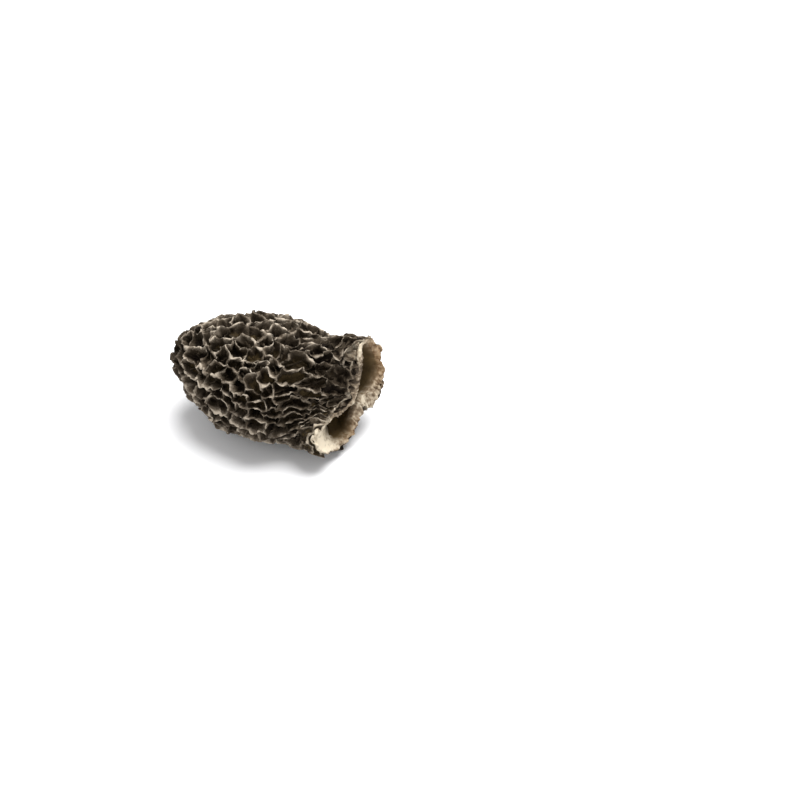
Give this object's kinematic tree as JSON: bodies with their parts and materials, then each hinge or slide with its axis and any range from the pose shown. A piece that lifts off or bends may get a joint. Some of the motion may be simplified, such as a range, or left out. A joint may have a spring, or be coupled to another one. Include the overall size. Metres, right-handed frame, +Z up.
{
  "type": "dried morel mushroom",
  "caption": "Dried morel lying on its side: a blunt egg-shaped cap covered by a net of ribs, cross-ridges and pits, open at the back through its collapsed, cut-off stem",
  "frame": {"origin": "middle of the footprint, on the surface it rests on", "axes": "+X from the tip to the cut stem, +Y to the back, +Z up"},
  "size_m": [0.0406, 0.0276, 0.0224],
  "materials": {
    "dried_flesh": "matt, crumpled, nearly black in the pits, grey-beige on the ridges, cream at the cut stem"
  },
  "bodies": {
    "root": {"morel": "dried_flesh"}
  },
  "joints": []
}
